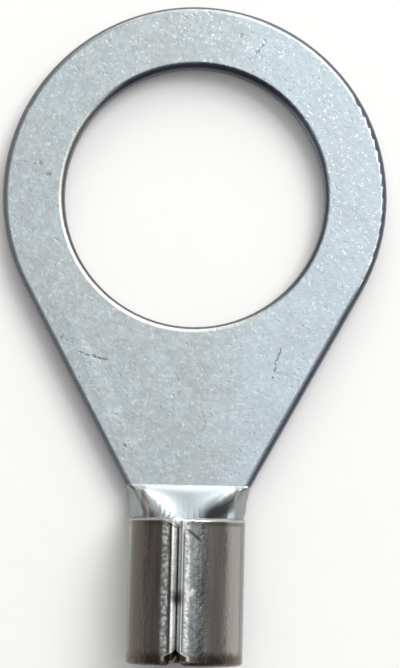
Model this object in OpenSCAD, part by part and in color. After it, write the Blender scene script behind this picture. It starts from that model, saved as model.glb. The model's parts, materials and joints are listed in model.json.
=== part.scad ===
// Ring terminal for a crimped cable end.
// One stamped sheet: a flat ring with a stud hole, a tapered tongue, and a tail
// rolled up into a tube that closes with a butt seam on top.
// The stud hole's axis is Z, the wire tube runs towards -Y, and Z = 0 is half way
// through the flat tongue. Sizes are in millimetres.

/* [Ring] */
// Outside diameter of the flat ring
ring_od = 19.2; // [16:0.1:24]
// Diameter of the stud hole
stud_hole_d = 13; // [9:0.1:15.6]

/* [Sheet] */
// Thickness of the sheet
sheet_t = 1; // [0.8:0.05:1.2]
// Rounding of the stamped edges on the upper face
upper_round = 0.3; // [0.1:0.01:0.35]
// Rounding of the stamped edges on the lower face
lower_round = 0.15; // [0.05:0.01:0.3]

/* [Tongue and neck] */
// Distance from the stud hole's axis to the bend across the tongue
hole_to_bend = 14.35; // [13:0.05:18]
// Length of the formed neck, from the bend to the tube's front rim
neck_len = 1.7; // [1.5:0.05:3]
// Height of the tongue's underside above the tube's underside
tongue_lift = 0.45; // [0.3:0.05:1]
// How far round the tube the neck's narrow part would reach, from the bottom
neck_wrap = 69; // [60:1:72]
// Radius of the inside corner between the neck and the tube's flap
flap_corner_r = 1.5; // [0.6:0.05:1.5]

/* [Wire tube] */
// Outside diameter of the tube
tube_od = 5.7; // [5:0.1:7]
// Length of the tube
tube_len = 7.15; // [5:0.05:9]
// Gap left where the two flap edges butt together
seam_gap = 0.06; // [0.04:0.01:0.2]
// How far the seam lies round from the top of the tube, towards -X, in degrees
seam_turn = 9; // [0:1:15]
// Corner radius of the flaps at the seam's front end
seam_front_r = 0.5; // [0.3:0.05:0.6]
// Corner radius of the flaps at the seam's rear end
seam_rear_r = 0.7; // [0.4:0.05:0.9]
// Rounding of the two flap edges along the seam
seam_round = 0.3; // [0.1:0.01:0.35]
// Rounding of the tube's outer edges
outer_round = 0.2; // [0.18:0.01:0.35]
// Rounding of the tube's inner edges
inner_round = 0.2; // [0.15:0.01:0.3]

/* [Hidden] */
$fn = 96;

half_t = sheet_t / 2;
ring_r = ring_od / 2;
hole_r = stud_hole_d / 2;
tube_r = tube_od / 2;
mid_r = tube_r - half_t;

bend_y = -hole_to_bend;
rim_y = bend_y - neck_len;
axis_z = tube_r - tongue_lift - half_t;

// Width of the strips of sheet that carry the ring's and the tongue's outer edges
edge_band = (ring_r - hole_r) / 2;
// How far the neck is sunk into the tongue and into the tube
bury = 0.35;
// How far the neck's faces and its flap corners stay under the faces they are sunk into
skin = 0.008;
// How far a corner cutter stands proud of a face, so that it crosses it
proud = 0.015;

// How deep the rounding of the tube's rim reaches
rim_deep = max(outer_round, inner_round);

// Half widths of the flat blank at the neck's narrow part and at the flap's root
neck_half = mid_r * neck_wrap * PI / 180;
root_half = neck_half + flap_corner_r;

// The tongue's side leaves the ring as a tangent and ends at the narrow part
taper_end = hole_to_bend + neck_len / 3;
taper = atan2(taper_end, neck_half) - acos(ring_r / norm([neck_half, taper_end]));

// Share of the neck over which the bend at its start is rounded
bend_share = 0.06;

// Steps along the neck, across its sheet, round one of its edges and past the rim
neck_steps = 24;
sheet_steps = 18;
edge_steps = 3;
rim_steps = 4;

tin = [0.76, 0.78, 0.79];

// ---------- Flat ring and tongue ----------

// One end of a flat band whose end is at x = 0 and whose body lies towards -X
module rounded_end(length, upper, lower) {
    deep = max(upper, lower);
    translate([-length, -half_t])
        square([length - deep, sheet_t]);
    translate([-length, lower - half_t])
        square([length, sheet_t - upper - lower]);
    translate([-length, 0])
        square([length - upper, half_t]);
    translate([-length, -half_t])
        square([length - lower, half_t]);
    translate([-upper, half_t - upper])
        circle(upper);
    translate([-lower, lower - half_t])
        circle(lower);
}

// Sheet round the stud hole, up to the middle of the edge band
module eye() {
    rotate_extrude()
        translate([hole_r, 0])
            mirror([1, 0])
                rounded_end(ring_r - hole_r - edge_band / 2, upper_round, lower_round);
}

// Rounded edge of the ring, from one tangent point over the far end to the other
module ring_edge() {
    rotate([0, 0, -taper])
        rotate_extrude(angle = 180 + 2 * taper)
            translate([ring_r, 0])
                rounded_end(edge_band, upper_round, lower_round);
}

// Rounded edge of the tongue's straight side at +X
module side_edge() {
    rotate([0, 0, -taper])
        translate([ring_r, 0, 0])
            rotate([90, 0, 0])
                linear_extrude(hole_to_bend)
                    rounded_end(edge_band, upper_round, lower_round);
}

// Plain sheet between the tongue's two edges
module tongue_middle() {
    inner = ring_r - edge_band / 2;
    top = [inner * cos(taper), -inner * sin(taper)];
    foot = [(inner - hole_to_bend * sin(taper)) / cos(taper), bend_y];
    difference() {
        translate([0, 0, -half_t])
            linear_extrude(sheet_t)
                polygon([[-top[0], top[1]], top, foot, [-foot[0], foot[1]]]);
        translate([0, 0, -sheet_t])
            cylinder(h = sheet_t * 2, r = ring_r - edge_band * 3 / 4);
    }
}

module tongue_edges() {
    intersection() {
        union() {
            side_edge();
            mirror([1, 0, 0])
                side_edge();
        }
        translate([-ring_r, bend_y, -sheet_t])
            cube([ring_od, hole_to_bend, sheet_t * 2]);
    }
}

// ---------- Formed neck ----------

function mix(a, b, t) = a + (b - a) * t;
function held(t) = min(max(t, 0), 1);

// Share of the tube's full curl, and share of the drop, reached at t along the neck
function curl(t) = held(t) * held(t) * (3 - 2 * held(t));
function drop(t) = 1 - pow(1 - past_bend(t), 2);

// Share of the neck past its bend, which starts level and turns down over the bend's share
function past_bend(t) =
    (norm([held(t), bend_share]) - bend_share) / (norm([1, bend_share]) - bend_share);

// Middle of the sheet at arc length s from the centre line and t along the neck
function middle(s, t) =
    let (r = mid_r / max(curl(t), 0.0001), a = s / r * 180 / PI)
    [r * sin(a), bend_y - neck_len * t, r * (1 - cos(a)) - tongue_lift * drop(t)];

// Unit normal of the sheet there, towards the inside of the tube
function normal(s, t) =
    let (
        step = 0.001,
        across = middle(s + step, t) - middle(s - step, t),
        along = middle(s, t - step) - middle(s, t + step),
        n = cross(across, along)
    )
    n / norm(n);

// Half width of the blank at t along the neck, drawn in by an inset
function half_width(t, inset) =
    let (
        ahead = neck_len * (1 - t) + skin,
        past = flap_corner_r - ahead,
        bow = pow(flap_corner_r + inset, 2) - pow(max(past, 0), 2),
        straight = root_half - sqrt(max(bow, 0)),
        sloped = (ring_r - inset - (hole_to_bend + neck_len * t) * sin(taper)) / cos(taper),
        blend = 0.15
    )
    t > 0.8 ? straight : (straight + sloped + norm([straight - sloped, blend * (1 - t)])) / 2;

// Points of one rounded corner of the edge, as [inset, offset from the face]
function corner(r) =
    [for (i = [0:edge_steps]) let (a = 90 * i / edge_steps) [r * (1 - sin(a)), r * (1 - cos(a))]];

// Half of the sheet's outline at t: side is 1 for +X and -1 for -X
function edge_points(t, side) =
    let (
        low = corner(mix(lower_round, outer_round, curl(t))),
        high = corner(mix(upper_round, inner_round, curl(t))),
        h = half_t - skin,
        rows = concat(
            [for (c = low) [c[0], c[1] - h]],
            [for (i = [edge_steps:-1:0]) [high[i][0], h - high[i][1]]]
        )
    )
    [for (q = rows)
        let (s = side * (half_width(t, q[0]) - skin))
        middle(s, t) + normal(s, t) * q[1]];

// One face of the sheet at t between its two edges, without the end points
function face_points(t, offset, inset) =
    let (w = half_width(t, inset) - skin)
    [for (i = [1:sheet_steps - 1])
        let (s = w * (2 * i / sheet_steps - 1))
        middle(s, t) + normal(s, t) * offset];

function reversed(list) = [for (i = [len(list) - 1:-1:0]) list[i]];

// Closed outline of the sheet at t: lower face, +X edge, upper face, -X edge
function outline(t) =
    let (
        h = half_t - skin,
        low = mix(lower_round, outer_round, curl(t)),
        high = mix(upper_round, inner_round, curl(t))
    )
    concat(
        face_points(t, -h, low),
        edge_points(t, 1),
        reversed(face_points(t, h, high)),
        reversed(edge_points(t, -1))
    );

// Stations along the neck, close together at the bend and where the flap's corner turns
stations = concat(
    [-bury / neck_len],
    [for (i = [0:neck_steps]) i / neck_steps - sin(360 * i / neck_steps) / (2 * PI) * 0.9],
    [for (i = [1:rim_steps]) 1 + rim_deep * i / rim_steps / neck_len],
    [1 + bury / neck_len]
);

// Flat end of the neck, as strips between the lower and the upper face
function end_faces(first, face_n, edge_n) =
    let (
        up = first + face_n + edge_n,
        right = [for (i = [0:edge_n - 1]) first + face_n + i],
        left = [for (i = [0:edge_n - 1]) up + face_n + i]
    )
    concat(
        [for (i = [0:face_n - 2])
            [first + i, first + i + 1, up + face_n - 2 - i, up + face_n - 1 - i]],
        [concat([first + face_n - 1], right, [up])],
        [concat([up + face_n - 1], left, [first])]
    );

// Neck that turns the flat tongue into the rolled tube, as one closed loft
module neck() {
    loops = [for (t = stations) outline(t)];
    n = len(loops[0]);
    face_n = sheet_steps - 1;
    edge_n = 2 * (edge_steps + 1);
    last = n * (len(loops) - 1);
    walls = [
        for (k = [0:len(loops) - 2], i = [0:n - 1], half = [0, 1])
            let (a = k * n + i, b = k * n + (i + 1) % n)
            half == 0 ? [a, b + n, b] : [a, a + n, b + n]
    ];
    polyhedron(
        points = [for (loop = loops, p = loop) p],
        faces = concat(
            walls,
            end_faces(0, face_n, edge_n),
            [for (f = end_faces(last, face_n, edge_n)) reversed(f)]
        )
    );
}

// ---------- Rolled tube ----------

// Tube with all of its end edges rounded, from the front rim towards -Y
module rolled_tube() {
    rotate([90, 0, 0])
        rotate_extrude()
            translate([mid_r, tube_len / 2])
                mirror([1, -1]) {
                    translate([tube_len / 2, 0])
                        rounded_end(tube_len / 2, outer_round, inner_round);
                    translate([-tube_len / 2, 0])
                        mirror([1, 0])
                            rounded_end(tube_len / 2, outer_round, inner_round);
                }
}

// Slot between two round-cornered flaps: the mouth is at y = 0 and opens to +Y
module rounded_slot(width, depth, r, overlap) {
    translate([-width / 2, -depth])
        square([width, depth]);
    difference() {
        translate([-width / 2 - r, -r])
            square([width + 2 * r, r + sheet_t]);
        for (side = [-1, 1])
            translate([side * (width / 2 + r - overlap), overlap - r])
                circle(r);
    }
}

// Gap between the flaps, opened out by their rounded outer edges
module seam() {
    translate([0, sheet_t, 0])
        rotate([90, 0, 0])
            linear_extrude(tube_len + 2 * sheet_t)
                translate([0, tube_r])
                    rounded_slot(seam_gap, sheet_t * 1.5, seam_round, 0);
}

// Rounded corners of the flaps at both ends of the seam
module flap_corners() {
    linear_extrude(tube_r + sheet_t) {
        rounded_slot(seam_gap, seam_front_r, seam_front_r, proud);
        translate([0, -tube_len])
            mirror([0, 1])
                rounded_slot(seam_gap, seam_rear_r, seam_rear_r, proud);
    }
}

module wire_tube() {
    translate([0, rim_y, axis_z])
        difference() {
            rolled_tube();
            rotate([0, -seam_turn, 0]) {
                seam();
                flap_corners();
            }
        }
}

module ring_terminal() {
    color(tin) {
        eye();
        ring_edge();
        tongue_edges();
        tongue_middle();
        neck();
        wire_tube();
    }
}

ring_terminal();
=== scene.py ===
import json
import math

import bpy
from bpy.props import FloatProperty, FloatVectorProperty, PointerProperty
from mathutils import Matrix, Vector


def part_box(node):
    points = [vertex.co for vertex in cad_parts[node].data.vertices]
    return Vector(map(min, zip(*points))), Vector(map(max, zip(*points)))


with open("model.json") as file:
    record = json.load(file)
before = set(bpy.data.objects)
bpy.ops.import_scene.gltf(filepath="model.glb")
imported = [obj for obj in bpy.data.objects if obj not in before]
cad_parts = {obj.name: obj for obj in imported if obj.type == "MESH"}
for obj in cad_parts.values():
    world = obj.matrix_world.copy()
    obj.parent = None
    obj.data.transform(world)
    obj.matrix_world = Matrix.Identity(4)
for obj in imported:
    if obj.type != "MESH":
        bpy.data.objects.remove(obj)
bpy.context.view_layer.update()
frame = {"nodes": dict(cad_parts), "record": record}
TERMINAL = "ring_terminal"
BOX_LOW, BOX_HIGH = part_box(TERMINAL)
MOUNTS = {mount["name"]: mount for mount in frame["record"]["mounts"]}

# The part is made in millimetres, and Blender's unit is the metre.
MM = 0.001

# Places on the terminal, in millimetres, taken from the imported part
STUD_HOLE_R = MOUNTS["stud_hole"]["dims"]["r_mm"]
BORE_R = MOUNTS["wire_bore"]["dims"]["r_mm"]
TUBE_AXIS_Z = MOUNTS["wire_bore"]["pos_m"][2] / MM
UPPER_FACE_Z = MOUNTS["nut_face"]["pos_m"][2] / MM
TAIL_Y = BOX_LOW.y / MM
RING_R = BOX_HIGH.x / MM
SHEET_T = 2 * UPPER_FACE_Z
TUBE_R = BORE_R + SHEET_T
# The bend across the tongue, and the tube's front rim
BEND_Y = -14.35
RIM_Y = -16.05
# Where the neck's side edges begin, from the middle
NECK_EDGE_X = 2.2
# The direction that the tongue's right flank faces
FLANK_OUT = (0.879, -0.477, 0.0)
# How far the butt seam lies round from the tube's top, towards -X
SEAM_TURN = math.radians(9.0)
# Millimetres of relief for one unit of the bump's height
BUMP_DEPTH = 0.012
# How far the bump raises the neck's lower end to level its fall, in millimetres
NECK_LEVEL = 0.42
# How much the bump flattens the neck's dish: millimetres of height for each square millimetre
# from its middle line
NECK_WIDEN = 0.08

# Where the seam's flap edges are painted to look flared apart, with a painted mouth and painted
# shade or highlight along its sides: how far from the tube's tail or front rim the flare starts,
# and its length and half width
REAR_FLARE_START = 1.0
REAR_FLARE = (0.55, 0.55)
FRONT_FLARE_START = 0.62
FRONT_FLARE = (0.62, 1.2)
# The line along a flare's side, as millimetres past it, and how soft its own sides are
REAR_FLARE_SIDE = (0.02, 0.15, 0.05)
FRONT_FLARE_SIDE = (0.0, 0.08, 0.03)
# A flare's mouth softens over this width inside its side
MOUTH_SOFT = 0.06

# Bands of painted shade and painted reflection that run along the tube, as degrees round from its
# top
LEFT_SHADE_BAND = (-72.0, -22.0)
TOP_REFLECTION_STRIP = (-12.0, 19.0)
RIGHT_SHEEN_BAND = (20.0, 70.0)
RIGHT_EDGE = (64.0, 72.0)
# Softness of their sides
BAND_SOFT = 4.0
# Bands beside the seam, as millimetres from it, and how soft their sides are
LEFT_BEADS = (-0.78, -0.44, 0.1)
RIGHT_BEADS = (0.36, 0.62, 0.1)
CREASE = (0.3, 0.37, 0.03)
LIP_EDGE = (0.26, 0.32)

# Films, marks, painted shades and painted highlights, as colour and strength
CLOUDING = ((0.31, 0.345, 0.355, 1.0), 0.6)
# Painted light: the right side's brighter, bluer tint, as if lit
PAINTED_LIT_SIDE = ((0.433, 0.528, 0.603, 1.0), 0.35)
# Painted highlight: the bright colour of the glinting specks
PAINTED_GLINT = ((0.6, 0.63, 0.64, 1.0), 1.0)
DARK_NICK = ((0.27, 0.3, 0.32, 1.0), 0.25)
# Painted shade on the sheet's rounded edges and the tongue's right flank
PAINTED_EDGE_SHADE = ((0.13, 0.14, 0.175, 1.0), 0.85)
# Painted highlight where the neck dips
NECK_DIP_HIGHLIGHT = ((0.63, 0.71, 0.75, 1.0), 0.75)
# Painted sheen on the tube's right flank, lighter where it faces the lights
PAINTED_RIGHT_SHEEN = ((0.42, 0.41, 0.385, 1.0), 0.6)
# Painted shade along the tube's right edge
PAINTED_RIGHT_EDGE_SHADE = ((0.15, 0.16, 0.17, 1.0), 0.75)
# Painted highlight: bright glints on the beads beside the seam
BEAD = ((0.8, 0.81, 0.79, 1.0), 0.9)
CREASE_SHADE = ((0.09, 0.09, 0.09, 1.0), 0.75)
REAR_FLARE_SHADE = ((0.03, 0.024, 0.02, 1.0), 1.0)
# Painted highlight along the rear flare's sides
REAR_FLARE_HIGHLIGHT = ((0.5, 0.51, 0.46, 1.0), 0.85)
# Painted shade line along the front flare's sides
FRONT_FLARE_SHADE_LINE = ((0.07, 0.07, 0.075, 1.0), 0.8)
# Painted highlight: the bright mouth of the front flare
FRONT_MOUTH_HIGHLIGHT = ((0.62, 0.66, 0.68, 1.0), 1.0)
RIM_SHADE = ((0.1, 0.09, 0.08, 1.0), 0.55)
# Painted highlight along the tube's front rim
RIM_HIGHLIGHT = ((0.72, 0.7, 0.62, 1.0), 1.0)
SCUFF = ((0.7, 0.69, 0.62, 1.0), 0.55)
SPOT = ((0.07, 0.07, 0.075, 1.0), 0.8)
NICK_SHADE = ((0.04, 0.042, 0.045, 1.0), 0.85)
SCRATCH_SHADE = ((0.13, 0.135, 0.14, 1.0), 0.6)

# Single marks, in millimetres. Scratches and scuffs: start, end and width
SCRATCHES = (
    ((4.42, -7.55, 0.5), (4.02, -9.05, 0.5), 0.09),
    ((-5.5, -7.95, 0.5), (-4.2, -8.25, 0.5), 0.16),
    ((2.95, 7.3, 0.5), (3.25, 7.75, 0.5), 0.12),
)
TUBE_SCUFFS = (
    ((-0.04, -19.95, 4.74), (0.32, -19.55, 4.72), 0.34),
    ((-0.3, -16.75, 4.75), (-0.1, -16.4, 4.75), 0.3),
)
TUBE_NICK = ((0.13, -16.68, 4.75), (0.7, -17.12, 4.72), 0.2)
# Pits and the dark spot beside the seam: centre and radius
PITS = (
    ((2.15, 8.15, 0.5), 0.16),
    ((2.75, 8.3, 0.5), 0.13),
    ((3.35, 7.95, 0.5), 0.14),
    ((2.6, 6.95, 0.5), 0.15),
    ((-7.75, 1.5, 0.5), 0.2),
    ((-7.35, 1.0, 0.5), 0.14),
    ((-6.5, -7.15, 0.5), 0.17),
    ((-3.25, -12.45, 0.5), 0.16),
)
SEAM_SPOT = ((-0.42, -19.85, 4.72), 0.55)
# Painted dark reflections on the neck's two slopes, seen in plan: start, end, width and colour
NECK_PAINTED_SHADES = (
    ((-2.45, -14.7, 0.0), (-1.85, -16.0, 0.0), 0.85, (0.11, 0.065, 0.058, 1.0)),
    ((2.6, -15.0, 0.0), (1.15, -15.9, 0.0), 0.9, (0.06, 0.047, 0.045, 1.0)),
)
NECK_SHADE_STRENGTH = 0.85

bl_info = {
    "name": "Tinned ring terminal",
    "version": (1, 0, 0),
    "blender": (4, 5, 0),
    "location": "3D View > Sidebar > Terminal",
    "description": "Finishes a stamped and tinned ring terminal and sets it on a lit stage",
    "category": "Object",
}


class TinSettings(bpy.types.PropertyGroup):
    """Colours and roughness of the tin plating."""

    cool_tin: FloatVectorProperty(
        name="Cool tin",
        description="Colour of clean tin on the flat faces",
        subtype="COLOR",
        size=3,
        min=0.0,
        max=1.0,
        default=(0.395, 0.455, 0.485),
    )
    dull_tin: FloatVectorProperty(
        name="Dull tin",
        description="Colour of the fine greyer mottling",
        subtype="COLOR",
        size=3,
        min=0.0,
        max=1.0,
        default=(0.345, 0.378, 0.39),
    )
    warm_tin: FloatVectorProperty(
        name="Warm tin",
        description="Colour of the faintly yellowed patches between the clean ones",
        subtype="COLOR",
        size=3,
        min=0.0,
        max=1.0,
        default=(0.42, 0.432, 0.43),
    )
    drawn_tin: FloatVectorProperty(
        name="Drawn tin",
        description="Colour of the darkened tin on the rolled tube",
        subtype="COLOR",
        size=3,
        min=0.0,
        max=1.0,
        default=(0.2, 0.19, 0.17),
    )
    # Painted shade: brown laid along the tube's left flank, where it lies in shade
    die_stain: FloatVectorProperty(
        name="Left flank shade",
        description="Brown film that the rolling die leaves along the tube",
        subtype="COLOR",
        size=3,
        min=0.0,
        max=1.0,
        default=(0.085, 0.072, 0.06),
    )
    thin_tin: FloatVectorProperty(
        name="Thin tin over copper",
        description="Warm tint on sheared edges, where the tin is thin over the copper",
        subtype="COLOR",
        size=3,
        min=0.0,
        max=1.0,
        default=(0.33, 0.225, 0.165),
    )
    flat_roughness: FloatProperty(
        name="Flat roughness",
        description="Roughness of the flat faces, dulled by tumbling",
        subtype="FACTOR",
        min=0.0,
        max=1.0,
        default=0.42,
    )
    formed_roughness: FloatProperty(
        name="Formed roughness",
        description="Roughness of the neck and the tube, burnished by the rolling die",
        subtype="FACTOR",
        min=0.0,
        max=1.0,
        default=0.2,
    )


class StageSettings(bpy.types.PropertyGroup):
    """Floor, lights and camera."""

    camera_distance: FloatProperty(
        name="Camera distance",
        description="Distance from the camera to the middle of the terminal",
        subtype="DISTANCE",
        unit="LENGTH",
        min=0.05,
        default=0.16,
    )
    lean_right: FloatProperty(
        name="Lean to the right",
        description="Angle by which the camera leans towards the terminal's right side",
        subtype="ANGLE",
        unit="ROTATION",
        default=0.0,
    )
    lean_back: FloatProperty(
        name="Lean towards the tube",
        description="Angle by which the camera leans towards the tube's end",
        subtype="ANGLE",
        unit="ROTATION",
        default=math.radians(4.0),
    )
    roll: FloatProperty(
        name="Camera roll",
        description="Turn of the camera about its own view",
        subtype="ANGLE",
        unit="ROTATION",
        default=math.radians(1.3),
    )
    lens: FloatProperty(
        name="Lens",
        description="Focal length of the camera",
        subtype="DISTANCE_CAMERA",
        min=20.0,
        default=172.8,
    )
    floor_width: FloatProperty(
        name="Floor width",
        description="Side of the square floor",
        subtype="DISTANCE",
        unit="LENGTH",
        min=0.1,
        default=0.8,
    )
    floor_colour: FloatVectorProperty(
        name="Floor colour",
        description="Colour of the pale floor",
        subtype="COLOR",
        size=3,
        min=0.0,
        max=1.0,
        default=(0.97, 0.97, 0.965),
    )


class Wiring:
    """Adds nodes to one node tree and joins their sockets."""

    def __init__(self, tree):
        self.tree = tree

    def node(self, kind, inputs=None, **settings):
        """A new node with its settings, and with its inputs given as values or sockets."""
        made = self.tree.nodes.new(kind)
        for name, value in settings.items():
            setattr(made, name, value)
        for name, value in (inputs or {}).items():
            self.put(made.inputs[name], value)
        return made

    def put(self, socket, value):
        """Joins a socket to another one, or gives it a value."""
        if isinstance(value, bpy.types.NodeSocket):
            self.tree.links.new(value, socket)
        else:
            socket.default_value = value

    def maths(self, operation, *values, clamp=False):
        """The result of one Math node."""
        made = self.node("ShaderNodeMath", operation=operation, use_clamp=clamp)
        for socket, value in zip(made.inputs, values):
            self.put(socket, value)
        return made.outputs["Value"]

    def vector(self, operation, *values, result="Vector"):
        """The result of one Vector Math node."""
        made = self.node("ShaderNodeVectorMath", operation=operation)
        for socket, value in zip(made.inputs, values):
            self.put(socket, value)
        return made.outputs[result]

    def ease(self, value, low, high, start=0.0, end=1.0):
        """A value that goes smoothly from start at low to end at high."""
        made = self.node(
            "ShaderNodeMapRange",
            {"Value": value, "From Min": low, "From Max": high, "To Min": start, "To Max": end},
            interpolation_type="SMOOTHSTEP",
        )
        return made.outputs["Result"]

    def blend(self, factor, first, second):
        """A colour between two others."""
        made = self.node("ShaderNodeMix", data_type="RGBA")
        self.put(made.inputs[0], factor)
        self.put(made.inputs[6], first)
        self.put(made.inputs[7], second)
        return made.outputs[2]

    def lerp(self, factor, first, second):
        """A number between two others."""
        made = self.node("ShaderNodeMix", data_type="FLOAT")
        self.put(made.inputs[0], factor)
        self.put(made.inputs[2], first)
        self.put(made.inputs[3], second)
        return made.outputs[0]

    def noise(self, position, scale, detail=2.0, roughness=0.5):
        """The value of a noise texture."""
        made = self.node(
            "ShaderNodeTexNoise",
            {"Vector": position, "Scale": scale, "Detail": detail, "Roughness": roughness},
        )
        return made.outputs["Fac"]


def new_group(name, inputs, outputs):
    """An empty shader node group with its sockets, and its wiring, input and output nodes."""
    tree = bpy.data.node_groups.new(name, "ShaderNodeTree")
    for socket, kind, default in inputs:
        made = tree.interface.new_socket(socket, in_out="INPUT", socket_type=kind)
        if default is not None:
            made.default_value = default
    for socket, kind in outputs:
        tree.interface.new_socket(socket, in_out="OUTPUT", socket_type=kind)
    wiring = Wiring(tree)
    return tree, wiring, wiring.node("NodeGroupInput"), wiring.node("NodeGroupOutput")


def scratch_group():
    """A straight scratch between two places, with soft ends and sides."""
    name = "Straight Scratch"
    if name in bpy.data.node_groups:
        return bpy.data.node_groups[name]
    tree, w, given, result = new_group(
        name,
        [
            ("Position", "NodeSocketVector", None),
            ("Start", "NodeSocketVector", None),
            ("End", "NodeSocketVector", None),
            ("Width", "NodeSocketFloat", 0.1),
        ],
        [("Mask", "NodeSocketFloat")],
    )
    along = w.vector("SUBTRACT", given.outputs["End"], given.outputs["Start"])
    away = w.vector("SUBTRACT", given.outputs["Position"], given.outputs["Start"])
    reach = w.maths(
        "DIVIDE",
        w.vector("DOT_PRODUCT", away, along, result="Value"),
        w.vector("DOT_PRODUCT", along, along, result="Value"),
        clamp=True,
    )
    scaled = w.node("ShaderNodeVectorMath", operation="SCALE")
    w.put(scaled.inputs[0], along)
    w.put(scaled.inputs["Scale"], reach)
    gap = w.vector("DISTANCE", away, scaled.outputs["Vector"], result="Value")
    share = w.maths("DIVIDE", gap, given.outputs["Width"])
    w.put(result.inputs["Mask"], w.ease(share, 0.15, 0.6, 1.0, 0.0))
    return tree


def spot_group():
    """A round spot with a soft rim."""
    name = "Soft Spot"
    if name in bpy.data.node_groups:
        return bpy.data.node_groups[name]
    tree, w, given, result = new_group(
        name,
        [
            ("Position", "NodeSocketVector", None),
            ("Centre", "NodeSocketVector", None),
            ("Radius", "NodeSocketFloat", 0.5),
        ],
        [("Mask", "NodeSocketFloat")],
    )
    gap = w.vector("DISTANCE", given.outputs["Position"], given.outputs["Centre"], result="Value")
    share = w.maths("DIVIDE", gap, given.outputs["Radius"])
    w.put(result.inputs["Mask"], w.ease(share, 0.2, 1.0, 1.0, 0.0))
    return tree


def grain_group():
    """Fine tooth that tumbling leaves on a surface: a height and a patchy mask."""
    name = "Tumbled Tooth"
    if name in bpy.data.node_groups:
        return bpy.data.node_groups[name]
    tree, w, given, result = new_group(
        name,
        [("Position", "NodeSocketVector", None), ("Scale", "NodeSocketFloat", 5.0)],
        [("Height", "NodeSocketFloat"), ("Patches", "NodeSocketFloat")],
    )
    position, scale = given.outputs["Position"], given.outputs["Scale"]
    tooth = w.noise(position, scale, detail=3.0, roughness=0.6)
    broad = w.noise(position, w.maths("MULTIPLY", scale, 0.13), detail=4.0, roughness=0.6)
    w.put(result.inputs["Height"], tooth)
    w.put(result.inputs["Patches"], w.ease(broad, 0.36, 0.64))
    return tree


def ding_group():
    """Sparse little dents, stretched in three directions, that catch the light."""
    name = "Tumbling Dings"
    if name in bpy.data.node_groups:
        return bpy.data.node_groups[name]
    tree, w, given, result = new_group(
        name,
        [
            ("Position", "NodeSocketVector", None),
            ("Scale", "NodeSocketFloat", 3.0),
            ("Share", "NodeSocketFloat", 0.3),
        ],
        [("Mask", "NodeSocketFloat")],
    )
    bend = w.node("ShaderNodeTexNoise", {"Vector": given.outputs["Position"], "Scale": 3.0})
    push = w.node("ShaderNodeVectorMath", operation="SCALE")
    w.put(push.inputs[0], bend.outputs["Color"])
    w.put(push.inputs["Scale"], 0.35)
    wavy = w.vector("ADD", given.outputs["Position"], push.outputs["Vector"])
    layers = []
    for turn, shift in ((24, 0.0), (-38, 7.3), (83, 15.1)):
        turned = w.node(
            "ShaderNodeMapping",
            {
                "Vector": wavy,
                "Location": (shift, shift, shift),
                "Rotation": (0, 0, math.radians(turn)),
                "Scale": (1.35, 0.8, 1.0),
            },
            vector_type="TEXTURE",
        )
        cells = w.node(
            "ShaderNodeTexVoronoi",
            {"Vector": turned.outputs["Vector"], "Scale": given.outputs["Scale"]},
        )
        dent = w.ease(cells.outputs["Distance"], 0.05, 0.45, 1.0, 0.0)
        pick = w.node("ShaderNodeSeparateColor", {"Color": cells.outputs["Color"]})
        kept = w.maths("LESS_THAN", pick.outputs["Red"], given.outputs["Share"])
        layers.append(w.maths("MULTIPLY", dent, kept))
    most = w.maths("MAXIMUM", w.maths("MAXIMUM", layers[0], layers[1]), layers[2])
    w.put(result.inputs["Mask"], most)
    return tree


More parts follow.
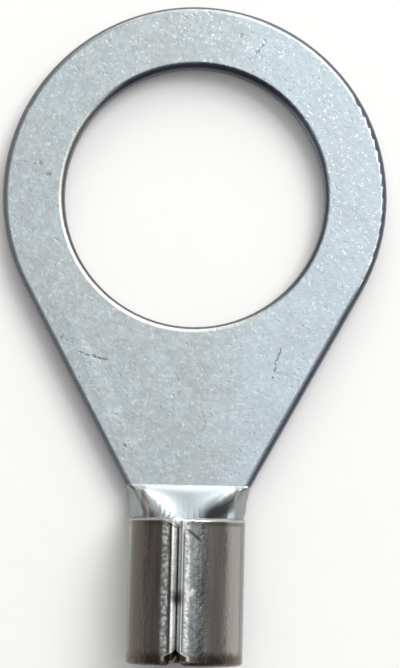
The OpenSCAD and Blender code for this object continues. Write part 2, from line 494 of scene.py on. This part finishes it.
class TinFinish:
    """The masks, colours, roughness and heights of the tinned finish, for one material."""

    def __init__(self, wiring, tin):
        self.w, self.tin = wiring, tin
        place = wiring.node("ShaderNodeTexCoord").outputs["Object"]
        scale = wiring.node("ShaderNodeMapping", {"Vector": place, "Scale": (1 / MM,) * 3})
        self.position = scale.outputs["Vector"]
        split = wiring.node("ShaderNodeSeparateXYZ", {"Vector": self.position})
        self.x, self.y, self.z = (split.outputs[axis] for axis in "XYZ")
        self.tooth = self.group(grain_group(), {"Scale": 5.0})
        self.patches = self.tooth.outputs["Patches"]
        self.specks = self.group(ding_group(), {"Scale": 5.2, "Share": 0.16}).outputs["Mask"]
        self.nicks = self.group(ding_group(), {"Scale": 4.1, "Share": 0.1}).outputs["Mask"]
        self.shaky = self.shaken(2.6, 0.4)
        self.split_regions()
        self.marks = self.scratches_and_pits()

    def group(self, tree, values, position=None):
        """A node group that reads a position in millimetres."""
        made = self.w.node("ShaderNodeGroup", node_tree=tree)
        self.w.put(made.inputs["Position"], position or self.position)
        for name, value in values.items():
            made.inputs[name].default_value = value
        return made

    def colour(self, name):
        """A colour from the panel, with its alpha."""
        return tuple(getattr(self.tin, name)) + (1.0,)

    def film(self, mask, below, film):
        """A film of one colour and strength, laid over the colour below it."""
        colour, strength = film
        return self.w.blend(self.w.maths("MULTIPLY", mask, strength), below, colour)

    def scratch(self, mark, position=None):
        """The mask of one straight mark."""
        values = dict(zip(("Start", "End", "Width"), mark))
        return self.group(scratch_group(), values, position).outputs["Mask"]

    def spot(self, mark):
        """The mask of one round mark."""
        values = dict(zip(("Centre", "Radius"), mark))
        return self.group(spot_group(), values, self.shaky).outputs["Mask"]

    def both(self, first, second):
        """Where two masks meet."""
        return self.w.maths("MULTIPLY", first, second)

    def either(self, first, second):
        """Where one mask or the other lies."""
        return self.w.maths("MAXIMUM", first, second)

    def band(self, value, low, high, soft):
        """One between two values, with soft sides."""
        rise = self.w.ease(value, low - soft, low + soft)
        fall = self.w.ease(value, high - soft, high + soft, 1.0, 0.0)
        return self.both(rise, fall)

    def shaken(self, scale, reach):
        """The position pushed about by noise, so that what reads it has no straight sides."""
        w = self.w
        noise = w.node("ShaderNodeTexNoise", {"Vector": self.position, "Scale": scale})
        centred = w.vector("SUBTRACT", noise.outputs["Color"], (0.5, 0.5, 0.5))
        push = w.node("ShaderNodeVectorMath", operation="SCALE")
        w.put(push.inputs[0], centred)
        w.put(push.inputs["Scale"], reach)
        return w.vector("ADD", self.position, push.outputs["Vector"])

    def streaks(self, across, along):
        """Noise drawn out along the tube by the rolling die."""
        drawn = self.w.node(
            "ShaderNodeMapping",
            {"Vector": self.position, "Scale": (across, along, across)},
        )
        return self.w.noise(drawn.outputs["Vector"], 1.0, detail=5.0, roughness=0.6)

    def split_regions(self):
        """Masks of the formed metal, the tube, the neck and the sheared walls of the flat sheet."""
        w = self.w
        self.formed = w.ease(self.y, BEND_Y - 0.2, BEND_Y + 0.05, 1.0, 0.0)
        self.tube = w.ease(self.y, RIM_Y - 0.12, RIM_Y + 0.05, 1.0, 0.0)
        self.flat = w.maths("SUBTRACT", 1.0, self.formed)
        self.neck = w.maths("SUBTRACT", self.formed, self.tube)
        # Depth under the nearer flat face
        self.sunk = w.maths("SUBTRACT", UPPER_FACE_Z, w.maths("ABSOLUTE", self.z))
        self.wall = self.both(w.ease(self.sunk, 0.2, 0.42), self.flat)
        self.right_side = w.ease(self.x, 1.5, 4.0)

    def scratches_and_pits(self):
        """Mask of the single scratches and pits, with ragged depth."""
        masks = [self.scratch(mark, self.shaky) for mark in SCRATCHES]
        masks += [self.spot(mark) for mark in PITS]
        found = masks[0]
        for mask in masks[1:]:
            found = self.either(found, mask)
        ragged = self.w.ease(self.tooth.outputs["Height"], 0.35, 0.6, 0.45, 1.0)
        return self.both(found, ragged)

    # The flat sheet

    def sheet_colour(self):
        """Tumbled tin: warm and cool patches, mottling, clouds, specks with painted glints and
        nicks, with the right side painted brighter and bluer as if lit.
        """
        w = self.w
        self.cloud = w.noise(self.position, 1.6, detail=4.0, roughness=0.65)
        mottle = w.noise(self.position, 4.6, detail=2.5, roughness=0.65)
        sheet = w.blend(self.patches, self.colour("warm_tin"), self.colour("cool_tin"))
        sheet = w.blend(w.ease(mottle, 0.34, 0.66), sheet, self.colour("dull_tin"))
        sheet = self.film(w.ease(self.cloud, 0.4, 0.66), sheet, CLOUDING)
        # Painted light: the right side is painted brighter and bluer, as it lies towards the lights
        sheet = self.film(w.ease(self.x, 0.5, 3.5), sheet, PAINTED_LIT_SIDE)
        # Painted highlight: specks painted bright as glints, more strongly towards the lit upper
        # right; their dents and lower roughness are real
        far = w.ease(w.maths("ADD", self.x, self.y), -10.0, 12.0, 0.4, 1.0)
        sheet = self.film(self.both(self.specks, far), sheet, PAINTED_GLINT)
        return self.film(self.nicks, sheet, DARK_NICK)

    def shaded_edges_and_copper(self, sheet):
        """Painted shade where the sheet's edges round over, and copper showing on its walls."""
        w = self.w
        edge_top = w.lerp(self.right_side, 0.025, 0.004)
        edge_low = w.lerp(self.right_side, 0.1, 0.03)
        edge = self.both(w.ease(self.sunk, edge_top, edge_low), self.flat)
        # Painted shade over the rounded edges and along the right flank
        sheet = self.film(self.either(edge, self.painted_flank_shade()), sheet, PAINTED_EDGE_SHADE)
        copper = self.both(self.wall, w.ease(self.cloud, 0.4, 0.62, 0.1, 0.6))
        return w.blend(copper, sheet, self.colour("thin_tin"))

    def painted_flank_shade(self):
        """Painted shade: the wider dark band along the tongue's right flank, standing in for its
        shaded side wall.
        """
        w = self.w
        out = w.vector("DOT_PRODUCT", self.position, FLANK_OUT, result="Value")
        flank = self.both(w.ease(out, RING_R - 0.38, RING_R - 0.28), self.right_side)
        flank = self.both(flank, w.ease(self.y, -6.0, -2.0, 1.0, 0.0))
        return self.both(flank, self.flat)

    def hole_rim(self, sheet):
        """The stud hole's rounded rim: painted shade far from the tube, going coppery down its
        wall, and a painted highlight on the near left.
        """
        w = self.w
        in_plan = w.vector("MULTIPLY", self.position, (1, 1, 0))
        from_stud = w.vector("LENGTH", in_plan, result="Value")

        # Painted shade on the far rim's rounding, going coppery down into the wall
        far_rim_shade = w.ease(from_stud, STUD_HOLE_R + 0.24, STUD_HOLE_R + 0.36, 1.0, 0.0)
        far_rim_shade = self.both(far_rim_shade, w.ease(self.y, 3.2, 6.0))
        shade_blue, coppery = (0.025, 0.03, 0.05, 1.0), (0.17, 0.09, 0.075, 1.0)
        rim_shade_and_copper = w.blend(w.ease(self.sunk, 0.3, 0.45), shade_blue, coppery)
        sheet = self.film(far_rim_shade, sheet, (rim_shade_and_copper, 0.85))

        # Painted highlight on the near left of the rim
        near_rim_highlight = w.ease(from_stud, STUD_HOLE_R + 0.22, STUD_HOLE_R + 0.32, 1.0, 0.0)
        towards = w.ease(w.maths("ADD", self.x, self.y), -2.0, 2.5, 1.0, 0.0)
        near_rim_highlight = self.both(near_rim_highlight, towards)
        near_rim_highlight = self.both(near_rim_highlight, w.ease(self.sunk, 0.03, 0.07, 1.0, 0.0))
        near_rim_highlight = self.both(near_rim_highlight, w.ease(self.x, -5.5, 1.0, 0.85, 0.6))
        pale = (0.6, 0.595, 0.535, 1.0)
        return w.blend(near_rim_highlight, sheet, pale)

    # The neck

    def neck_colour(self):
        """A painted highlight where the neck dips, painted dark reflections on its slopes beside,
        and grey on its cut edges.
        """
        w = self.w
        plan = w.node("ShaderNodeMapping", {"Vector": self.shaken(1.4, 0.3), "Scale": (1, 1, 0)})
        clean, cut_edge = (0.58, 0.63, 0.65, 1.0), (0.33, 0.355, 0.35, 1.0)
        # Painted highlight where the neck dips, then painted dark reflections on its slopes
        colour = self.film(w.ease(self.x, -0.9, 0.5), clean, NECK_DIP_HIGHLIGHT)
        for *mark, stain in NECK_PAINTED_SHADES:
            mask = self.scratch(mark, plan.outputs["Vector"])
            colour = self.film(mask, colour, (stain, NECK_SHADE_STRENGTH))
        side = w.ease(w.maths("ABSOLUTE", self.x), NECK_EDGE_X, NECK_EDGE_X + 0.2)
        return w.blend(side, colour, cut_edge)

    # The tube

    def tube_colour(self):
        """Drawn tin under painted bands of shade and reflection, with its seam, ends and marks."""
        self.curdled = self.streaks(5.5, 4.0)
        self.broad = self.streaks(1.3, 0.55)
        self.streak = self.streaks(3.4, 0.22)
        drawn = self.tube_films()
        drawn = self.seam(drawn)
        drawn = self.tail_end(drawn)
        drawn = self.front_end(drawn)
        for mark in TUBE_SCUFFS:
            drawn = self.film(self.scratch(mark, self.shaky), drawn, SCUFF)
        drawn = self.film(self.spot(SEAM_SPOT), drawn, SPOT)
        return self.film(self.scratch(TUBE_NICK), drawn, NICK_SHADE)

    def tube_angle(self):
        """Degrees round the tube from its top, positive towards +X, with a wavering edge."""
        w = self.w
        up = w.maths("SUBTRACT", self.z, TUBE_AXIS_Z)
        angle = w.maths("DEGREES", w.maths("ARCTAN2", self.x, up))
        waver = w.maths("SUBTRACT", self.streaks(0.8, 0.16), 0.5)
        return w.maths("ADD", angle, w.maths("MULTIPLY", waver, 16.0))

    def tube_films(self):
        """Bands of painted shade and painted reflection along the tube, by the angle round it, over
        the drawn tin's streaks.
        """
        w = self.w
        angle = self.tube_angle()
        light_streak = (0.31, 0.305, 0.28, 1.0)
        drawn = w.blend(w.ease(self.streak, 0.35, 0.65), self.colour("drawn_tin"), light_streak)
        # Painted sheen on the right flank and painted shade along the right edge
        drawn = self.film(self.band(angle, *RIGHT_SHEEN_BAND, BAND_SOFT), drawn, PAINTED_RIGHT_SHEEN)
        drawn = self.film(w.ease(angle, *RIGHT_EDGE), drawn, PAINTED_RIGHT_EDGE_SHADE)

        # Painted shade along the tube's left flank, brown and reddened in patches
        reddened = self.both(w.ease(self.broad, 0.45, 0.65), w.ease(angle, -56.0, -44.0))
        stain = w.blend(reddened, self.colour("die_stain"), (0.12, 0.072, 0.052, 1.0))
        fading = w.ease(angle, -52.0, -34.0, 0.85, 0.35)
        drawn = w.blend(self.both(self.band(angle, *LEFT_SHADE_BAND, BAND_SOFT), fading), drawn, stain)

        # Painted reflection: a mottled teal band along the tube's top
        fine = w.maths("MULTIPLY", self.curdled, 0.55)
        shade = w.maths("ADD", fine, w.maths("MULTIPLY", self.broad, 0.45))
        dark_teal, light_teal = (0.08, 0.098, 0.1, 1.0), (0.2, 0.225, 0.23, 1.0)
        teal = w.blend(w.ease(shade, 0.38, 0.62), dark_teal, light_teal)
        return self.film(self.band(angle, *TOP_REFLECTION_STRIP, BAND_SOFT), drawn, (teal, 0.85))

    def seam(self, drawn):
        """The butt seam: beads beside it with painted glints, a bright lip on the left, partly
        scraped tin and partly painted highlight, a duller one on the right, and the crease between.
        """
        w = self.w
        up = w.maths("SUBTRACT", self.z, TUBE_AXIS_Z)
        turned = w.maths("ADD", w.maths("ARCTAN2", self.x, up), SEAM_TURN)
        past_seam = w.maths("MULTIPLY", turned, TUBE_R)
        self.from_seam = w.maths("ABSOLUTE", past_seam)

        beside = self.either(self.band(past_seam, *LEFT_BEADS), self.band(past_seam, *RIGHT_BEADS))
        beading = w.ease(w.noise(self.position, 5.0, detail=1.0), 0.32, 0.68, 0.3, 1.0)
        self.beads = self.both(beading, beside)
        # Painted highlight: the beads painted bright as glints
        drawn = self.film(self.beads, drawn, BEAD)

        self.lips = w.ease(self.from_seam, *LIP_EDGE, 1.0, 0.0)
        # The left lip is scraped tin, painted brighter as a highlight
        worn, polished_highlight = (0.55, 0.55, 0.55, 1.0), (0.85, 0.85, 0.85, 1.0)
        left_lip = w.blend(w.ease(self.streaks(1.0, 0.9), 0.38, 0.6), worn, polished_highlight)
        right_lip = (0.6, 0.605, 0.61, 1.0)
        lip_tin = w.blend(w.ease(past_seam, -0.02, 0.06), left_lip, right_lip)
        drawn = w.blend(self.lips, drawn, lip_tin)
        return self.film(self.band(self.from_seam, *CREASE), drawn, CREASE_SHADE)

    def flare(self, along, size):
        """How far the seam has flared open along it, and how far a place lies past its side."""
        w = self.w
        length, half_width = size
        opened = w.maths("DIVIDE", along, length, clamp=True)
        side = w.maths("MULTIPLY", w.maths("MULTIPLY", opened, opened), half_width)
        return opened, w.maths("SUBTRACT", self.from_seam, side)

    def tail_end(self, drawn):
        """A painted dark shade along the tail's rounded edge, and the seam's painted flare in it: a
        dark mouth with painted highlights along its sides.
        """
        w = self.w
        # Painted shade along the tail's rounded edge
        frayed = w.maths("ADD", self.y, w.maths("MULTIPLY", self.broad, 0.6))
        tail = w.ease(frayed, TAIL_Y + 0.68, TAIL_Y + 1.12, 1.0, 0.0)
        shade_black, tawny = (0.06, 0.045, 0.038, 1.0), (0.15, 0.09, 0.05, 1.0)
        tail_shade_colour = w.blend(w.ease(self.curdled, 0.5, 0.62), shade_black, tawny)
        drawn = self.film(tail, drawn, (tail_shade_colour, 0.85))

        along = w.maths("SUBTRACT", TAIL_Y + REAR_FLARE_START, self.y)
        opened, past = self.flare(along, REAR_FLARE)
        before_end = w.ease(self.y, TAIL_Y + 0.2, TAIL_Y + 0.3)
        inside = self.both(w.ease(opened, 0.02, 0.1), before_end)
        mouth = self.both(inside, w.ease(past, -MOUTH_SOFT, 0.0, 1.0, 0.0))
        drawn = self.film(mouth, drawn, REAR_FLARE_SHADE)
        # Painted highlights along the rear flare's sides
        side = self.both(inside, self.band(past, *REAR_FLARE_SIDE))
        return self.film(side, drawn, REAR_FLARE_HIGHLIGHT)

    def front_end(self, drawn):
        """The tube's front rim: its painted shade, a painted highlight along its edge, and the
        seam's painted flare in it.
        """
        w = self.w
        drawn = self.film(self.band(self.y, RIM_Y - 0.36, RIM_Y - 0.2, 0.05), drawn, RIM_SHADE)
        self.rim = w.ease(self.y, RIM_Y - 0.17, RIM_Y - 0.1)
        # Painted highlight along the rim's rounded edge
        drawn = self.film(self.rim, drawn, RIM_HIGHLIGHT)

        along = w.maths("SUBTRACT", self.y, RIM_Y - FRONT_FLARE_START)
        opened, past = self.flare(along, FRONT_FLARE)
        inside = w.ease(opened, 0.1, 0.3)
        side = self.both(inside, self.band(past, *FRONT_FLARE_SIDE))
        # Painted shade line along the flare's sides, then a painted bright mouth
        drawn = self.film(side, drawn, FRONT_FLARE_SHADE_LINE)
        self.mouth = self.both(inside, w.ease(past, -MOUTH_SOFT, 0.0, 1.0, 0.0))
        return self.film(self.mouth, drawn, FRONT_MOUTH_HIGHLIGHT)

    # The whole terminal

    def base_colour(self):
        """The colours of the sheet, the neck and the tube, under the single marks."""
        sheet = self.hole_rim(self.shaded_edges_and_copper(self.sheet_colour()))
        colour = self.w.blend(self.neck, sheet, self.neck_colour())
        colour = self.w.blend(self.tube, colour, self.tube_colour())
        return self.film(self.marks, colour, SCRATCH_SHADE)

    def roughness(self):
        """Dull where tumbled, glossy where the die burnished it, dull again where scoured."""
        w = self.w
        dull, glossy = self.tin.flat_roughness, self.tin.formed_roughness
        flat = w.lerp(self.patches, dull, dull - 0.06)
        flat = w.lerp(self.specks, flat, 0.29)
        formed = w.lerp(self.streak, glossy - 0.05, glossy + 0.1)
        formed = w.lerp(self.neck, formed, 0.36)
        scoured = self.either(self.either(self.lips, self.beads), self.either(self.rim, self.mouth))
        formed = w.lerp(self.both(scoured, self.tube), formed, 0.45)
        formed = w.lerp(self.both(self.beads, self.tube), formed, 0.6)
        return w.lerp(self.formed, flat, formed)

    def height(self):
        """The height of the bump: tooth, nicks, marks, die streaks and the burnished neck."""
        w = self.w
        tooth = w.maths("MULTIPLY", self.tooth.outputs["Height"], w.lerp(self.formed, 1.0, 0.12))
        nicks = w.maths("MULTIPLY", self.nicks, w.lerp(self.formed, 0.45, 0.2))
        sheet = w.maths("SUBTRACT", w.maths("SUBTRACT", tooth, nicks), self.marks)
        beaten = self.either(self.beads, w.maths("MULTIPLY", self.curdled, 0.9))
        beaten = w.maths("MULTIPLY", w.maths("MULTIPLY", beaten, self.tube), 1.5)
        combed = w.maths("MULTIPLY", self.streak, w.maths("MULTIPLY", self.tube, 0.7))
        return self.burnished_neck(w.maths("ADD", w.maths("ADD", sheet, beaten), combed))

    def burnished_neck(self, height):
        """The height with the neck's fall levelled and its dip widened."""
        w = self.w
        fallen = w.maths("SUBTRACT", BEND_Y, self.y)
        fallen = w.maths("DIVIDE", fallen, BEND_Y - RIM_Y, clamp=True)
        left = w.maths("SUBTRACT", 1.0, fallen)
        level = w.maths("SUBTRACT", 1.0, w.maths("MULTIPLY", left, left))
        height = w.maths("ADD", height, w.maths("MULTIPLY", level, NECK_LEVEL / BUMP_DEPTH))
        dip = w.maths("MULTIPLY", w.maths("MULTIPLY", self.x, self.x), w.ease(fallen, 0.0, 1.0))
        dip = w.maths("MULTIPLY", dip, w.maths("SUBTRACT", 1.0, self.tube))
        return w.maths("SUBTRACT", height, w.maths("MULTIPLY", dip, NECK_WIDEN / BUMP_DEPTH))


def tin_material(tin):
    """Tinned copper: tumbled dull on the ring and tongue, burnished and darker where it is formed,
    with painted shade and highlights laid over its colours.
    """
    material = bpy.data.materials.new("tinned copper")
    material.use_nodes = True
    tree = material.node_tree
    tree.nodes.clear()
    w = Wiring(tree)
    shader = w.node("ShaderNodeBsdfPrincipled")
    shader.inputs["Metallic"].default_value = 1.0
    output = w.node("ShaderNodeOutputMaterial", {"Surface": shader.outputs["BSDF"]})
    output.is_active_output = True

    finish = TinFinish(w, tin)
    w.put(shader.inputs["Base Color"], finish.base_colour())
    w.put(shader.inputs["Roughness"], finish.roughness())
    values = {"Strength": 1.0, "Distance": BUMP_DEPTH * MM, "Height": finish.height()}
    w.put(shader.inputs["Normal"], w.node("ShaderNodeBump", values).outputs["Normal"])
    return material


# The floor's tooth, as how many to the metre, and how dark it gets between
FLOOR_TOOTH = 900.0
FLOOR_SHADE = 0.97


def floor_material(stage):
    """Pale matt card with a faint tooth."""
    material = bpy.data.materials.new("pale card")
    material.use_nodes = True
    tree = material.node_tree
    tree.nodes.clear()
    w = Wiring(tree)
    shader = w.node("ShaderNodeBsdfPrincipled")
    shader.inputs["Roughness"].default_value = 0.9
    w.node("ShaderNodeOutputMaterial", {"Surface": shader.outputs["BSDF"]})
    place = w.node("ShaderNodeTexCoord").outputs["Object"]
    tooth = w.noise(place, FLOOR_TOOTH, detail=3.0)
    colour = tuple(stage.floor_colour) + (1.0,)
    shade = tuple(FLOOR_SHADE * part for part in stage.floor_colour) + (1.0,)
    w.put(shader.inputs["Base Color"], w.blend(tooth, shade, colour))
    return material


# Soft lights: name, place from the terminal's middle and size in metres, brightness and colour
STUDIO_LIGHTS = (
    ("overhead softbox", (0.06, 0.08, 0.5), (0.38, 0.44), 1.35, (0.98, 1.0, 1.0)),
    ("key", (0.2, 0.22, 0.36), (0.26, 0.26), 5.0, (1.0, 1.0, 1.0)),
    ("ring end card", (0.04, 0.42, 0.24), (0.5, 0.3), 2.6, (1.0, 0.96, 0.88)),
)
# The dim even light of the room
ROOM_LIGHT = (0.26, 0.258, 0.262, 1)
# What the camera looks at, in millimetres
CAMERA_AIM = (0.42, -6.82, 0.0)


def area_light(name, place, aim, size, brightness, colour):
    """A rectangular soft light of an even brightness, turned towards the aim."""
    data = bpy.data.lights.new(name, "AREA")
    data.shape = "RECTANGLE"
    data.size, data.size_y = size
    data.energy = brightness * math.pi * size[0] * size[1]
    data.color = colour
    light = bpy.data.objects.new(name, data)
    light.location = place
    light.rotation_euler = (Vector(aim) - Vector(place)).to_track_quat("-Z", "Y").to_euler()
    bpy.context.scene.collection.objects.link(light)
    return light


class TERMINAL_OT_tin_finish(bpy.types.Operator):
    """Give the terminal its tinned finish"""

    bl_idname = "terminal.tin_finish"
    bl_label = "Tin the terminal"

    def execute(self, context):
        node = frame["nodes"][TERMINAL]
        node.data.materials.clear()
        node.data.materials.append(tin_material(context.scene.terminal_tin))
        return {"FINISHED"}


class TERMINAL_OT_stage(bpy.types.Operator):
    """Lay the floor, hang the lights and place the camera"""

    bl_idname = "terminal.stage"
    bl_label = "Set the stage"

    def execute(self, context):
        stage = context.scene.terminal_stage
        bpy.ops.object.select_all(action="DESELECT")
        bpy.ops.mesh.primitive_plane_add(size=stage.floor_width, location=(0, 0, BOX_LOW.z))
        floor = context.active_object
        floor.name = "floor"
        floor.data.materials.append(floor_material(stage))

        middle = (BOX_LOW + BOX_HIGH) / 2
        for name, place, size, brightness, colour in STUDIO_LIGHTS:
            area_light(name, middle + Vector(place), middle, size, brightness, colour)
        world = bpy.data.worlds.new("studio")
        world.use_nodes = True
        background = world.node_tree.nodes["Background"]
        background.inputs["Color"].default_value = ROOM_LIGHT
        background.inputs["Strength"].default_value = 1.0
        context.scene.world = world
        context.scene.view_settings.view_transform = "Standard"

        data = bpy.data.cameras.new("camera")
        data.lens = stage.lens
        data.clip_start = 0.01
        camera = bpy.data.objects.new("camera", data)
        context.scene.collection.objects.link(camera)
        back = Vector(
            (
                math.sin(stage.lean_right) * math.cos(stage.lean_back),
                -math.sin(stage.lean_back),
                math.cos(stage.lean_right) * math.cos(stage.lean_back),
            )
        )
        aim = Vector(CAMERA_AIM) * MM
        right = Vector((0, 1, 0)).cross(back).normalized()
        right = Matrix.Rotation(stage.roll, 3, back) @ right
        pose = Matrix((right, back.cross(right), back)).transposed().to_4x4()
        pose.translation = aim + back * stage.camera_distance
        camera.matrix_world = pose
        context.scene.camera = camera
        return {"FINISHED"}


class TERMINAL_PT_panel(bpy.types.Panel):
    """Buttons and sizes of the terminal"""

    bl_idname = "TERMINAL_PT_panel"
    bl_label = "Ring terminal"
    bl_space_type = "VIEW_3D"
    bl_region_type = "UI"
    bl_category = "Terminal"

    def draw(self, context):
        layout = self.layout
        for settings in (context.scene.terminal_tin, context.scene.terminal_stage):
            column = layout.column()
            for name in settings.bl_rna.properties.keys():
                if name not in {"rna_type", "name"}:
                    column.prop(settings, name)
        layout.operator(TERMINAL_OT_tin_finish.bl_idname)
        layout.operator(TERMINAL_OT_stage.bl_idname)


CLASSES = (
    TinSettings,
    StageSettings,
    TERMINAL_OT_tin_finish,
    TERMINAL_OT_stage,
    TERMINAL_PT_panel,
)


def register():
    for made in CLASSES:
        bpy.utils.register_class(made)
    bpy.types.Scene.terminal_tin = PointerProperty(type=TinSettings)
    bpy.types.Scene.terminal_stage = PointerProperty(type=StageSettings)


def unregister():
    del bpy.types.Scene.terminal_stage
    del bpy.types.Scene.terminal_tin
    for made in reversed(CLASSES):
        bpy.utils.unregister_class(made)


def main():
    register()
    bpy.ops.terminal.tin_finish()
    bpy.ops.terminal.stage()


if __name__ == "__main__":
    main()
